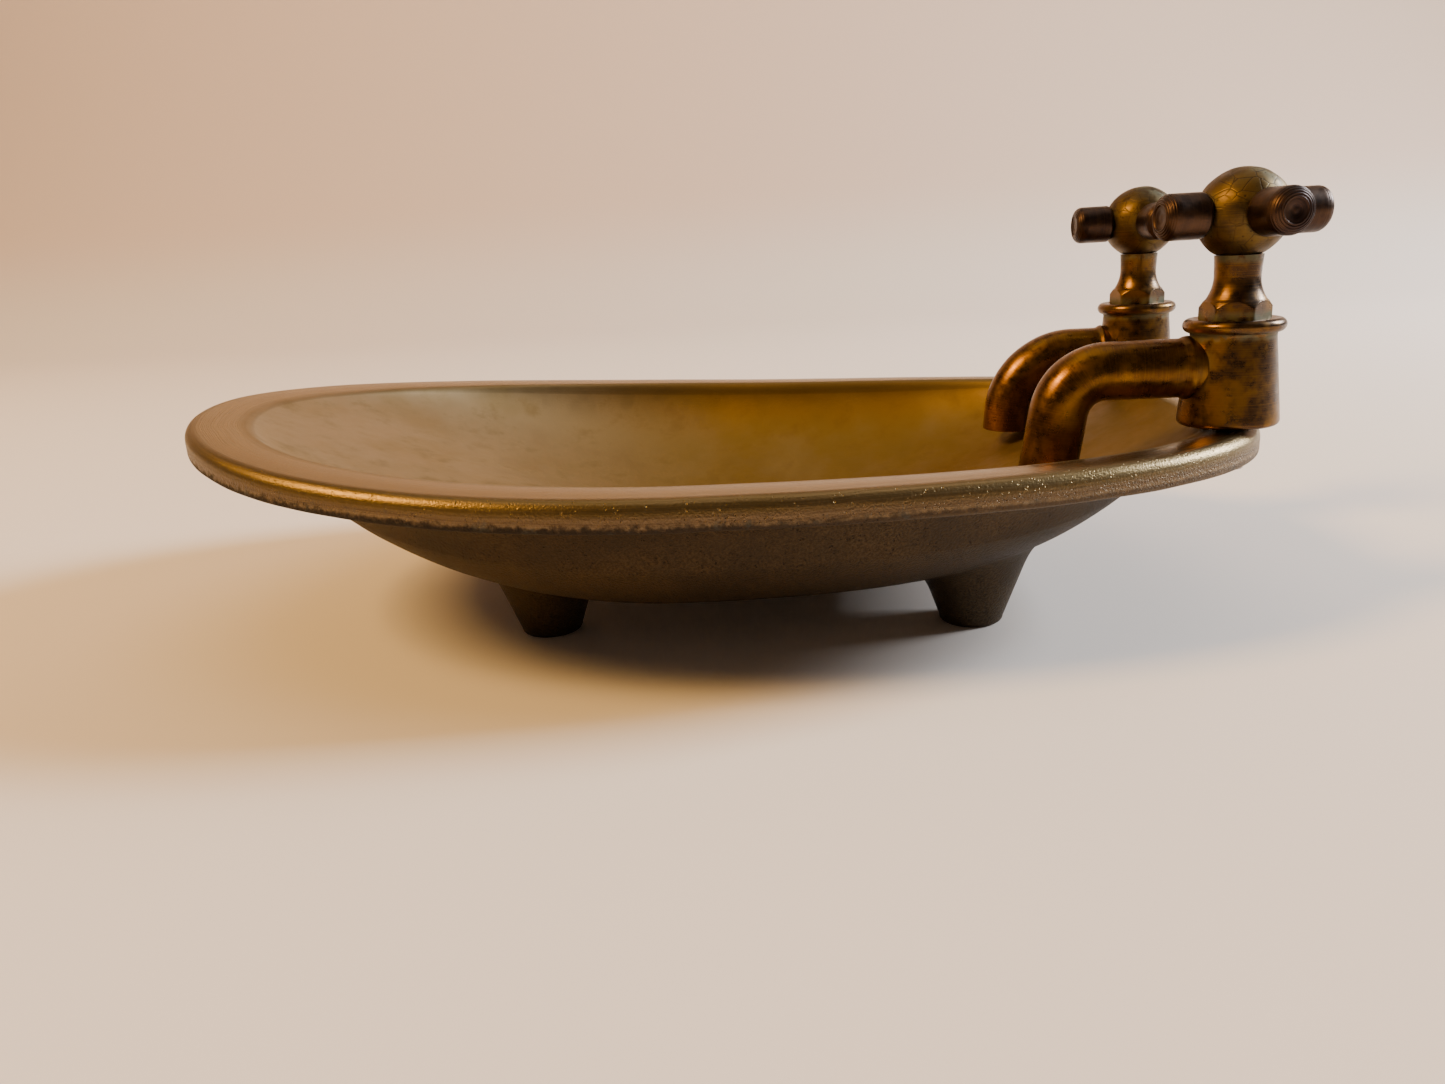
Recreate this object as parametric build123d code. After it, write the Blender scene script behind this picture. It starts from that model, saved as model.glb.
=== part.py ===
from build123d import *
import os
from math import cos, pi, sin

os.makedirs("parts", exist_ok=True)

# A cast brass soap dish in the form of a slipper bath: a tub on four stub feet, with two
# miniature pillar taps on the rim. +X runs from the raised head end to the tap end, +Y is
# the rear side, +Z is up, and z = 0 is the surface that the feet stand on.

# ---- tub: plan of the rim (mm) ----
TUB_X = -2.1                # the tub's centre, so that the whole object is centred on the origin
RIM_HALF_LENGTH = 90.0
RIM_HALF_WIDTH = 60.0
TAP_END_POWER = 3.15        # superellipse power of the squarer tap end
HEAD_END_POWER = 1.89       # and of the pointed head end
EGG = 0.183                 # how much narrower the tap end is than the head end
MOUTH_HALF_LENGTH = 80.75   # the basin's mouth, inside the rim
MOUTH_HALF_WIDTH = 51.1
MOUTH_SHIFT = 0.7
MOUTH_TAP_POWER = 3.56
PLAN_POINTS = 28

# ---- tub: heights ----
RIM_LOW = 29.1              # crest of the rim along its level stretch
HEAD_RISE = 8.8             # extra height at the head end
HEAD_RISE_START = 60.0      # where the climb to the head end starts
HEAD_RISE_POWER = 2.9
TAP_RISE = 0.6              # the small lift at the tap end
TAP_RISE_START = 45.0
RIM_THICKNESS = 4.5
RIM_SHOULDER = 2.1          # radius of the rim's outer shoulder
RIM_UNDER_ROUND = 0.7
RIM_INNER_ROUND = 0.7
TUB_TOP = 39.0              # above every part of the rim

# ---- tub: shell outside, basin inside ----
SHELL_BOTTOM = 4.8
FLOOR_TOP = 7.6
BOTTOM_X = 6.5              # the bottom lies a little towards the taps
SHELL_INSET_SIDE = 6.7      # how far the shell meets the rim inside its edge
SHELL_INSET_END = 14.8
SHELL_SHIFT = 0.5
# at the head end, the sides and the tap end: the wall's curve, and the flat share of each radius
SHELL_POWERS = (1.03, 2.4, 1.15)
SHELL_FLATS = (0.17, 0.17, 0.42)
BASIN_POWERS = (1.1, 1.9, 0.95)
BASIN_FLATS = (0.1, 0.1, 0.4)
LEVEL_STEPS = (0.02, 0.06, 0.13, 0.24, 0.4, 0.6, 0.8, 1.0)
FLARE = 0.3                 # outward lean of the walls above the rim, where the rim trims them

# ---- feet ----
FOOT_X = (-24.8, 43.9)
FOOT_Y = 25.1
FOOT_TIP_R = 5.0
FOOT_TOP_R = 8.4
FOOT_TOP_Z = 9.5
FOOT_ROUND = 1.0

# ---- taps ----
TAP_X = 81.7                # from the tub's centre
TAP_Y = 24.15
TAP_DROP = {"front": 0.0, "rear": 0.5}      # the rear tap's body is a little shorter
HANDLE_TURN = {"front": 11.0, "rear": 4.0}  # where the cross handles stand at rest (degrees)
SEAT_Z = 29.9               # milled top of the seat that a tap stands on
SEAT_R = 4.6
SPOTFACE_Z = 25.3
SPOTFACE_R = 3.4
BODY_BASE_R = 7.1
BODY_TOP_R = 5.9
BODY_BASE_ROUND = 0.6
BEAD_R = 7.0
BEAD_Z = 43.5
BEAD_H = 2.0
CHAMBER_R = 3.2
CHAMBER_Z = 38.2
SPOUT_R = 4.4
# height at the body, height of the outlet, reach of the bend's corner and of the outlet, bend radius
SPOUT_LAYOUT = {"front": (38.5, 20.8, 23.9, 26.7, 6.9), "rear": (36.7, 22.0, 23.3, 24.2, 12.0)}
OUTLET_R = 3.0
OUTLET_DEPTH = 5.0
HEX_ACROSS_FLATS = 8.6
HEX_H = 2.5
HEX_CORNER_R = 4.9
NECK_FLARE_R = 4.2
NECK_FLARE_H = 1.5          # how high above the hexagon the flare has mostly gone
NECK_FOOT_R = 3.45
NECK_WAIST_R = 3.15
NECK_WAIST_Z = 51.8
NECK_TOP_R = 3.3
NECK_TOP_Z = 54.4
STUB_Z = 40.0
BALL_R = 6.45
BALL_Z = 60.1
BALL_GAP = 0.12             # between the neck and the underside of the ball
SPINDLE_R = 1.5
SPINDLE_CLEARANCE = 0.05
SPINDLE_TOP_Z = 58.6
SPINDLE_FOOT_Z = 38.5
CLIP_R = 2.6
CLIP_Z = 38.8
CLIP_H = 0.9
ARM_R = 3.25
ARM_START = 6.0
ARM_END = 12.4
ARM_DOME = 1.4              # depth of the domed end
ARM_DOME_R = 2.3
ARM_FACE_R = 1.8
ARM_SHANK_R = 2.3
ARM_SHANK_START = 3.4

# ---- fixings under the rim ----
SCREW_R = 1.45
SCREW_HOLE_R = 1.5
RIM_HOLE_R = 1.7
SCREW_TOP_Z = 35.5
SCREW_HOLE_TOP_Z = 36.2
SCREW_HEAD_R = 2.7
SCREW_HEAD_H = 1.6
SLOT_W = 0.7
SLOT_DEPTH = 0.7
WASHER_R = 3.2
WASHER_H = 0.5

LIP_BAND = 0.25             # how closely an edge has to follow the mouth to be its lip
MARGIN = 5.0                # how far cutting tools run past the solids


def rim_height(x):
    """Crest of the rim at x from the tub's centre."""
    head = max(0.0, HEAD_RISE_START - x) / (HEAD_RISE_START + RIM_HALF_LENGTH)
    tap = max(0.0, x - TAP_RISE_START) / (RIM_HALF_LENGTH - TAP_RISE_START)
    return RIM_LOW + HEAD_RISE * head ** HEAD_RISE_POWER + TAP_RISE * tap ** 2


def signed_power(value, power):
    return (1 if value >= 0 else -1) * abs(value) ** power


def plan_point(angle, half_length, half_width, tap_power, shift=0.0):
    """A point of an egg-shaped plan outline: a superellipse, narrower at the tap end."""
    c, s = cos(angle), sin(angle)
    power = 2 / (tap_power if c >= 0 else HEAD_END_POWER)
    x = shift + half_length * signed_power(c, power)
    y = half_width * signed_power(s, power) * (1 - EGG * x / RIM_HALF_LENGTH)
    return x, y


def plan_angles():
    return [2 * pi * (i + 0.5) / PLAN_POINTS for i in range(PLAN_POINTS)]


def plan_face(z, half_length, half_width, tap_power):
    points = [(*plan_point(a, half_length, half_width, tap_power), z) for a in plan_angles()]
    return make_face(Spline(*points, periodic=True))


def round_the_tub(values, angle):
    """Blend the values for the head end, the sides and the tap end at a plan angle."""
    head, side, tap = values
    end = head if cos(angle) < 0 else tap
    return side + (end - side) * cos(angle) ** 2


def wall_section(z, top_point, top_height, bottom, flats, powers):
    """Horizontal section of a tub surface that curves from a flat bottom up to its top edge."""
    points = []
    for angle in plan_angles():
        x_top, y_top = top_point(angle)
        power = round_the_tub(powers, angle)
        flat = round_the_tub(flats, angle)
        rise = (z - bottom) / (top_height(x_top) - bottom)
        if rise < 1:
            reach = flat + (1 - flat) * (1 - (1 - rise) ** power) ** (1 / power)
        else:
            reach = 1 + FLARE * (rise - 1)
        points.append((BOTTOM_X + reach * (x_top - BOTTOM_X), reach * y_top, z))
    return make_face(Spline(*points, periodic=True))


def tub_surface_solid(top_point, top_height, bottom, flats, powers):
    heights = [bottom + step * (RIM_LOW - bottom) for step in LEVEL_STEPS]
    heights += [RIM_LOW + HEAD_RISE / 2, TUB_TOP]
    return loft([wall_section(z, top_point, top_height, bottom, flats, powers) for z in heights])


def shell_solid():
    def top_point(angle):
        return plan_point(angle, RIM_HALF_LENGTH - SHELL_INSET_END, RIM_HALF_WIDTH - SHELL_INSET_SIDE,
                          TAP_END_POWER, SHELL_SHIFT)

    def top_height(x):
        return rim_height(x) - RIM_THICKNESS

    return tub_surface_solid(top_point, top_height, SHELL_BOTTOM, SHELL_FLATS, SHELL_POWERS)


def basin_solid():
    def top_point(angle):
        return plan_point(angle, MOUTH_HALF_LENGTH, MOUTH_HALF_WIDTH, MOUTH_TAP_POWER, MOUTH_SHIFT)

    return tub_surface_solid(top_point, rim_height, FLOOR_TOP, BASIN_FLATS, BASIN_POWERS)


def under_sheer(drop, depth):
    """Everything from `depth` to `drop` below the rim's crest line, right across the tub."""
    reach = RIM_HALF_LENGTH + MARGIN
    stations = [-reach + 2 * reach * i / 12 for i in range(13)]
    crest = Spline(*[(x, 0, rim_height(x) - drop) for x in stations])
    start, end = crest @ 0, crest @ 1
    if depth is None:
        low = Polyline(end, (reach, 0, -MARGIN), (-reach, 0, -MARGIN), start)
        profile = make_face(crest + low)
    else:
        under = Spline(*[(x, 0, rim_height(x) - depth) for x in stations])
        profile = make_face(crest + Line(end, under @ 1) + under + Line(under @ 0, start))
    side = RIM_HALF_WIDTH + MARGIN
    return extrude(Pos(0, -side, 0) * profile, 2 * side, dir=(0, 1, 0))


def rim_solid():
    plan = plan_face(0, RIM_HALF_LENGTH, RIM_HALF_WIDTH, TAP_END_POWER)
    slab = extrude(plan, TUB_TOP, dir=(0, 0, 1)) & under_sheer(0, RIM_THICKNESS)
    crest = [edge for edge in slab.edges() if height_under_crest(edge) < RIM_THICKNESS / 2]
    slab = fillet(crest, RIM_SHOULDER)
    under = [edge for edge in slab.edges() if height_under_crest(edge) > RIM_THICKNESS - 0.1]
    return fillet(under, RIM_UNDER_ROUND)


def height_under_crest(edge):
    middle = edge @ 0.5
    return rim_height(middle.X) - middle.Z


def is_lip(edge):
    """True for an edge of the basin's mouth, on the rim's crest."""
    middle = edge @ 0.5
    half_width = MOUTH_HALF_WIDTH * (1 - EGG * middle.X / RIM_HALF_LENGTH)
    x, y = abs(middle.X - MOUTH_SHIFT) / MOUTH_HALF_LENGTH, abs(middle.Y) / half_width
    power = MOUTH_TAP_POWER if middle.X > MOUTH_SHIFT else HEAD_END_POWER
    return abs(height_under_crest(edge)) < LIP_BAND and abs(x ** power + y ** power - 1) < LIP_BAND


def turned(outline):
    """Solid of revolution about Z. The outline is drawn flat, as radius and height."""
    return revolve(Plane.XZ * make_face(outline), Axis.Z)


def foot_solid():
    outline = Polyline((0, 0), (FOOT_TIP_R - FOOT_ROUND, 0))
    outline += RadiusArc((FOOT_TIP_R - FOOT_ROUND, 0), (FOOT_TIP_R, FOOT_ROUND), -FOOT_ROUND)
    outline += Polyline((FOOT_TIP_R, FOOT_ROUND), (FOOT_TOP_R, FOOT_TOP_Z), (0, FOOT_TOP_Z), (0, 0))
    return turned(outline)


def drum(radius, low, high):
    """A plain round bar or hole on the Z axis between two heights."""
    return Pos(0, 0, (low + high) / 2) * Cylinder(radius, high - low)


def make_tub():
    tub = rim_solid() + (shell_solid() & under_sheer(RIM_THICKNESS / 2, None))
    for x in FOOT_X:
        for y in (-FOOT_Y, FOOT_Y):
            tub += Pos(x, y, 0) * foot_solid()
    tub -= basin_solid()
    tub = fillet([edge for edge in tub.edges() if is_lip(edge)], RIM_INNER_ROUND)
    for y in (-TAP_Y, TAP_Y):
        place = Pos(TAP_X, y, 0)
        tub += place * drum(SEAT_R, RIM_LOW - RIM_THICKNESS / 2, SEAT_Z)
        tub -= place * drum(SPOTFACE_R, SPOTFACE_Z - MARGIN, SPOTFACE_Z)
        tub -= place * drum(RIM_HOLE_R, SPOTFACE_Z - MARGIN, SEAT_Z + MARGIN)
    return tub


# ---- the pieces of one tap, standing on the Z axis ----
def body_shape(base):
    """Outside of the tap body above `base`: a tapered barrel with a rounded bead round its top."""
    low = base + BODY_BASE_ROUND
    half = BEAD_H / 2
    outline = Polyline((0, base), (BODY_BASE_R - BODY_BASE_ROUND, base))
    outline += RadiusArc((BODY_BASE_R - BODY_BASE_ROUND, base), (BODY_BASE_R, low), -BODY_BASE_ROUND)
    outline += Polyline((BODY_BASE_R, low), (BODY_TOP_R, BEAD_Z), (BEAD_R - half, BEAD_Z))
    outline += RadiusArc((BEAD_R - half, BEAD_Z), (BEAD_R - half, BEAD_Z + BEAD_H), -half)
    outline += Polyline((BEAD_R - half, BEAD_Z + BEAD_H), (0, BEAD_Z + BEAD_H), (0, base))
    return turned(outline)


def make_body(base):
    body = body_shape(base) - drum(CHAMBER_R, CHAMBER_Z, BEAD_Z + BEAD_H + MARGIN)
    return body - drum(SCREW_HOLE_R, base - MARGIN, SCREW_HOLE_TOP_Z)


def make_spout(base, height, end, corner, outlet, bend):
    """A round elbow from the tap body towards the basin, bored at the outlet."""
    path = Plane.XZ * FilletPolyline((0, height), (-corner, height), (-outlet, end), radius=bend)
    start = Plane(origin=(0, 0, height), z_dir=(-1, 0, 0))
    tube = sweep(start * Circle(SPOUT_R), path=path)
    tube -= body_shape(base)
    mouth = Plane(origin=path @ 1, z_dir=path % 1)
    tube -= mouth * Cylinder(OUTLET_R, 2 * OUTLET_DEPTH)
    return max(tube.solids(), key=lambda solid: solid.volume)


def make_bonnet():
    """Hexagon with chamfered corners, a waisted neck, and the stub that screws into the body."""
    low = BEAD_Z + BEAD_H
    high = low + HEX_H
    hexagon = extrude(Pos(0, 0, low) * RegularPolygon(HEX_ACROSS_FLATS / 2, 6, major_radius=False), HEX_H)
    crown = Polyline((0, low), (HEX_CORNER_R, low), (HEX_CORNER_R, high - HEX_H / 4), (NECK_FLARE_R, high),
                     (0, high), (0, low))
    neck = Polyline((0, high), (NECK_FLARE_R, high))
    neck += Spline((NECK_FLARE_R, high), (NECK_FOOT_R, high + NECK_FLARE_H), (NECK_WAIST_R, NECK_WAIST_Z),
                   (NECK_TOP_R, NECK_TOP_Z))
    neck += Polyline((NECK_TOP_R, NECK_TOP_Z), (0, NECK_TOP_Z), (0, high))
    bonnet = (hexagon & turned(crown)) + turned(neck) + drum(CHAMBER_R, STUB_Z, low)
    return bonnet - drum(SPINDLE_R + SPINDLE_CLEARANCE, STUB_Z - MARGIN, NECK_TOP_Z + MARGIN)


def make_spindle():
    return drum(SPINDLE_R, SPINDLE_FOOT_Z, SPINDLE_TOP_Z)


def make_clip():
    return drum(CLIP_R, CLIP_Z, CLIP_Z + CLIP_H) - drum(SPINDLE_R, CLIP_Z - MARGIN, CLIP_Z + CLIP_H + MARGIN)


def make_ball():
    ball = Pos(0, 0, BALL_Z) * Sphere(BALL_R)
    ball -= drum(BALL_R, BALL_Z - 2 * BALL_R, NECK_TOP_Z + BALL_GAP)
    ball -= drum(SPINDLE_R, BALL_Z - 2 * BALL_R, SPINDLE_TOP_Z)
    for turn in range(4):
        ball -= Rot(0, 0, 90 * turn) * arm_bar(ARM_SHANK_R, ARM_SHANK_START, BALL_R + MARGIN)
    return ball


def arm_bar(radius, start, end):
    """A round bar along +X at the height of the ball."""
    return Pos((start + end) / 2, 0, BALL_Z) * Rot(0, 90, 0) * Cylinder(radius, end - start)


def make_arm():
    """One handle arm along +X: a shank set into the ball and a barrel with a domed end."""
    outline = Polyline((0, ARM_START), (ARM_R, ARM_START), (ARM_R, ARM_END - ARM_DOME))
    outline += RadiusArc((ARM_R, ARM_END - ARM_DOME), (ARM_FACE_R, ARM_END), -ARM_DOME_R)
    outline += Polyline((ARM_FACE_R, ARM_END), (0, ARM_END), (0, ARM_START))
    barrel = Pos(0, 0, BALL_Z) * Rot(0, 90, 0) * turned(outline)
    return barrel + arm_bar(ARM_SHANK_R, ARM_SHANK_START, ARM_START)


# ---- the fixing under the rim ----
def make_washer():
    low = SPOTFACE_Z - WASHER_H
    return drum(WASHER_R, low, SPOTFACE_Z) - drum(RIM_HOLE_R, low - MARGIN, SPOTFACE_Z + MARGIN)


def make_screw():
    """Cheese-head screw, driven from below through the rim into the tap body."""
    top = SPOTFACE_Z - WASHER_H
    screw = drum(SCREW_HEAD_R, top - SCREW_HEAD_H, top) + drum(SCREW_R, top, SCREW_TOP_Z)
    slot = Pos(0, 0, top - SCREW_HEAD_H + SLOT_DEPTH / 2) * Box(2 * SCREW_HEAD_R + MARGIN, SLOT_W, SLOT_DEPTH)
    return screw - slot


def save(name, shape, place):
    """Write one piece where it stands in the whole object."""
    shape = place * shape
    shape.label = name
    export_step(shape, f"parts/{name}.step")


def main():
    save("tub", make_tub(), Pos(TUB_X, 0, 0))
    for side, sign in (("front", -1), ("rear", 1)):
        drop = TAP_DROP[side]
        base = SEAT_Z + drop
        fixed = Pos(TUB_X + TAP_X, sign * TAP_Y, 0)
        tap = fixed * Pos(0, 0, -drop)
        handle = tap * Rot(0, 0, HANDLE_TURN[side])
        save(f"{side}_tap_body", make_body(base), tap)
        save(f"{side}_spout", make_spout(base, *SPOUT_LAYOUT[side]), tap)
        save(f"{side}_bonnet", make_bonnet(), tap)
        save(f"{side}_spindle", make_spindle(), handle)
        save(f"{side}_spindle_clip", make_clip(), handle)
        save(f"{side}_handle_ball", make_ball(), handle)
        for turn in range(4):
            save(f"{side}_handle_arm_{turn + 1}", Rot(0, 0, 90 * turn) * make_arm(), handle)
        save(f"{side}_washer", make_washer(), fixed)
        save(f"{side}_fixing_screw", make_screw(), fixed)


main()
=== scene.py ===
import math
import bpy
import numpy as np
from mathutils import Matrix, Vector, noise


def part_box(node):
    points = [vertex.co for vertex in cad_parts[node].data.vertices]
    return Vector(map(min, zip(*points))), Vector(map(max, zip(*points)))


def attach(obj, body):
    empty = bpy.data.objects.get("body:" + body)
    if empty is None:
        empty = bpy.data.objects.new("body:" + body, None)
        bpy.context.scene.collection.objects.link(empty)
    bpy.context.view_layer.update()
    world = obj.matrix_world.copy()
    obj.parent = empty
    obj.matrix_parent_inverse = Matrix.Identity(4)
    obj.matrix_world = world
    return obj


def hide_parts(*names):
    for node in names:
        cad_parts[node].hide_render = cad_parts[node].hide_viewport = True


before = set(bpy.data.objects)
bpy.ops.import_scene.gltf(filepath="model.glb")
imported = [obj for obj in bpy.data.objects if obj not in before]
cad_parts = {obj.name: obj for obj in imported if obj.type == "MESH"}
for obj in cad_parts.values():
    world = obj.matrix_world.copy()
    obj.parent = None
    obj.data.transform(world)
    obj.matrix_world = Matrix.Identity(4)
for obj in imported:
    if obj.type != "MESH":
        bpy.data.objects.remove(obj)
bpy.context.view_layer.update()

MM = 0.001

# ---------------------------------------------------------------- sizes (mm)
# As in the CAD model, with outer surfaces drawn in a little so that they stay in its box.
TUB_X = -2.1
HALF_LENGTH, HALF_WIDTH = 90.0, 60.0     # the rim as the CAD model has it
RIM_HALF_LENGTH, RIM_HALF_WIDTH = 89.9, 59.95
TAP_END_POWER, HEAD_END_POWER, EGG = 3.15, 1.89, 0.183
MOUTH_HALF_LENGTH, MOUTH_HALF_WIDTH, MOUTH_SHIFT, MOUTH_TAP_POWER = 80.75, 51.1, 0.7, 3.56
RIM_LOW, HEAD_RISE, HEAD_RISE_START, HEAD_RISE_POWER = 29.1, 8.8, 60.0, 2.9
TAP_RISE, TAP_RISE_START = 0.6, 45.0
RIM_THICKNESS, RIM_SHOULDER, RIM_UNDER_ROUND, LIP_ROUND = 4.5, 2.1, 0.7, 0.7
SHELL_BOTTOM, FLOOR_TOP, BOTTOM_X = 4.95, 7.7, 6.5
SHELL_INSET_SIDE, SHELL_INSET_END, SHELL_SHIFT = 6.7, 14.8, 0.5
SHELL_REACH = 0.965         # share of the shell below the fillet under the rim
SHELL_REACH_ANGLE = math.pi / 2 * 0.87
UNDER_FILLET = 0.35         # share of the rim's underside that the fillet takes
BASIN_REACH = 0.992         # share of the basin below the lip
CREST_CAMBER = 0.12
# at the head end, the sides and the tap end: the wall's curve, and the flat share of each radius
SHELL_POWERS, SHELL_FLATS = (1.03, 2.4, 1.15), (0.17, 0.17, 0.42)
BASIN_POWERS, BASIN_FLATS = (1.1, 1.9, 0.95), (0.1, 0.1, 0.4)
FOOT_X, FOOT_Y, FOOT_TIP_R = (-24.8, 43.9), 25.1, 5.0
FOOT_SLOPE = 2.75           # rise per mm of radius on a foot's side
FOOT_BLEND = 3.0            # size of the fillet between a foot and the tub
FOOT_ROUND = 0.9            # round at the foot's tip
FOOT_REACH = 12.5           # radius at which a foot's side has become the tub's underside
FOOT_CAP = 1.2              # how far a foot's closed end lies inside the wall
SEAT_Z = 29.9
BODY_BASE_R, BODY_TOP_R = 7.1, 5.9
BEAD_R, BEAD_Z, BEAD_H = 7.0, 43.5, 2.0
TAP_DROP = {"front": 0.0, "rear": 0.5}
HANDLE_TURN = {"front": 11.0, "rear": 4.0}
SPOUT_R = 4.4
SPOUT_START = -4.6          # where the elbow begins, inside the tap body
OUTLET_R, OUTLET_DEPTH = 2.9, 5.0
# height at the body, height of the outlet, reach of the bend's corner and of the outlet, bend radius
SPOUT_LAYOUT = {"front": (38.5, 20.8, 23.9, 26.7, 6.9), "rear": (36.7, 22.0, 23.3, 24.2, 12.0)}
HEX_APOTHEM, HEX_H, HEX_CORNER_R = 4.3, 2.5, 4.9
HEX_TURN = 0.35             # radians between a flat and the X axis
NECK_FLARE_R, NECK_WAIST_R, NECK_TOP_R, NECK_TOP_Z = 4.2, 3.15, 3.3, 54.4
BALL_R, BALL_Z = 6.43, 60.1
ARM_R, ARM_START, ARM_END, ARM_SHANK_R, ARM_SHANK_START = 3.25, 6.0, 12.4, 2.3, 3.4
ARM_DOME, ARM_FACE_R = 1.4, 1.8


# ---------------------------------------------------------------- camera, light and stage
def add_camera():
    """The camera stands low in front of the dish, a little towards the tap end."""
    place = Vector((18.535, -185.897, 60.183)) * MM
    yaw, pitch, roll = -0.1, 0.278, -0.06
    ahead = Vector((math.sin(yaw) * math.cos(pitch), math.cos(yaw) * math.cos(pitch), -math.sin(pitch)))
    level = Vector((math.cos(yaw), -math.sin(yaw), 0))
    above = level.cross(ahead)
    right = level * math.cos(roll) + above * math.sin(roll)
    up = above * math.cos(roll) - level * math.sin(roll)
    turn = Matrix((right, up, -ahead)).transposed().to_4x4()
    data = bpy.data.cameras.new("camera")
    data.sensor_width = 36
    data.lens = 25.98
    data.clip_start = 0.005
    camera = bpy.data.objects.new("camera", data)
    camera.matrix_world = Matrix.Translation(place) @ turn
    bpy.context.collection.objects.link(camera)
    bpy.context.scene.camera = camera


def add_softbox(name, place, target, size, power, color):
    data = bpy.data.lights.new(name, "AREA")
    data.shape = "RECTANGLE"
    data.size, data.size_y = size
    data.energy = power
    data.color = color
    light = bpy.data.objects.new(name, data)
    light.location = place
    light.rotation_euler = (Vector(target) - Vector(place)).to_track_quat("-Z", "Y").to_euler()
    bpy.context.collection.objects.link(light)


def add_lights():
    target = (0, 0, 0.03)
    add_softbox("window", (1.05, 0.24, 0.56), target, (0.34, 0.34), 26.0, (0.86, 0.92, 1.0))
    add_softbox("lamp", (-0.95, -0.33, 0.95), target, (0.38, 0.38), 23.0, (1.0, 0.58, 0.18))
    add_softbox("ceiling", (0.1, 0.25, 1.5), (0.1, 0.35, 0), (1.6, 1.0), 5.0, (1.0, 0.86, 0.74))
    world = bpy.data.worlds.new("room")
    world.use_nodes = True
    bpy.context.scene.world = world
    back = world.node_tree.nodes["Background"]
    back.inputs["Color"].default_value = (0.80, 0.62, 0.48, 1)
    back.inputs["Strength"].default_value = 0.16


def paper():
    """Pale paper, a little warmer where it rises into the wall."""
    g = Graph("pale_paper")
    color = g.mix(g.band(g.along("Z"), 10, 120), (0.86, 0.775, 0.70), (0.82, 0.65, 0.53))
    g.put(g.shader.inputs["Base Color"], color)
    g.shader.inputs["Roughness"].default_value = 0.85
    return g.material


def add_stage():
    """A pale table top that curves up into a pale wall behind the dish."""
    near, far, side, high, radius, steps = -1.4, 1.1, 2.2, 1.9, 0.5, 24
    line = [(near, 0.0), (far - radius, 0.0)]
    for step in range(1, steps + 1):
        angle = math.pi / 2 * step / steps
        line.append((far - radius + radius * math.sin(angle), radius - radius * math.cos(angle)))
    line.append((far, high))
    points = [(x, y, z) for y, z in line for x in (-side, side)]
    faces = [(2 * i, 2 * i + 1, 2 * i + 3, 2 * i + 2) for i in range(len(line) - 1)]
    mesh = bpy.data.meshes.new("backdrop")
    mesh.from_pydata(points, [], faces)
    mesh.shade_smooth()
    mesh.materials.append(paper())
    stage = bpy.data.objects.new("backdrop", mesh)
    bpy.context.collection.objects.link(stage)


# ---------------------------------------------------------------- mesh helpers
def new_piece(name, points, faces, material, layers=None, sharp=None):
    """A mesh object from points in mm, with its material and per-point float attributes."""
    mesh = bpy.data.meshes.new(name)
    mesh.from_pydata((np.asarray(points) * MM).tolist(), [], faces)
    for layer, values in (layers or {}).items():
        attribute = mesh.attributes.new(layer, "FLOAT", "POINT")
        attribute.data.foreach_set("value", np.asarray(values, dtype=np.float32))
    mesh.shade_smooth()
    if sharp:
        mesh.set_sharp_from_angle(angle=math.radians(sharp))
    mesh.materials.append(material)
    piece = bpy.data.objects.new(name, mesh)
    bpy.context.collection.objects.link(piece)
    return piece


def grid_faces(rows, columns, offset=0):
    """Quads of a grid that closes round its columns."""
    faces = []
    for row in range(rows - 1):
        for column in range(columns):
            after = (column + 1) % columns
            low, high = offset + row * columns, offset + (row + 1) * columns
            faces.append((low + column, low + after, high + after, high + column))
    return faces


def smooth_noise(points, size, seed):
    """Smooth random values, one for each point, with bumps about `size` mm apart."""
    shift = Vector((seed * 17.3, seed * 5.1, -seed * 9.7))
    return np.array([noise.noise(Vector(p) / size + shift) for p in points])


# ---------------------------------------------------------------- the tub's surfaces
def rim_height(x):
    head = np.maximum(0, HEAD_RISE_START - x) / (HEAD_RISE_START + HALF_LENGTH)
    tap = np.maximum(0, x - TAP_RISE_START) / (HALF_LENGTH - TAP_RISE_START)
    return RIM_LOW + HEAD_RISE * head ** HEAD_RISE_POWER + TAP_RISE * tap ** 2


def plan(angle, half_length, half_width, tap_power, shift=0.0):
    c, s = np.cos(angle), np.sin(angle)
    power = np.where(c >= 0, 2 / tap_power, 2 / HEAD_END_POWER)
    x = shift + half_length * np.sign(c) * np.abs(c) ** power
    y = half_width * np.sign(s) * np.abs(s) ** power * (1 - EGG * x / HALF_LENGTH)
    return np.stack([x, y], -1)


def even_angles(count):
    """Angles that space points evenly along the rim."""
    fine = np.linspace(-math.pi, math.pi, 20001)
    line = plan(fine, RIM_HALF_LENGTH, RIM_HALF_WIDTH, TAP_END_POWER)
    run = np.concatenate([[0], np.cumsum(np.linalg.norm(np.diff(line, axis=0), axis=1))])
    return np.interp(np.arange(count) * run[-1] / count, run, fine)


def round_the_tub(values, angle):
    """Blend the values for the head end, the sides and the tap end at a plan angle."""
    head, side, tap = values
    end = np.where(np.cos(angle) < 0, head, tap)
    return side + (end - side) * np.cos(angle) ** 2


def wall(angle, top, top_z, bottom, flats, powers, reach):
    """Point at share `reach` of the way from the bottom's middle to the top edge."""
    power, flat = round_the_tub(powers, angle), round_the_tub(flats, angle)
    out = np.clip((reach - flat) / (1 - flat), 0, 1)
    z = bottom + (top_z - bottom) * (1 - (1 - out ** power) ** (1 / power))
    x = BOTTOM_X + reach * (top[:, 0] - BOTTOM_X)
    return np.stack([x, reach * top[:, 1], z], -1)


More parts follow.
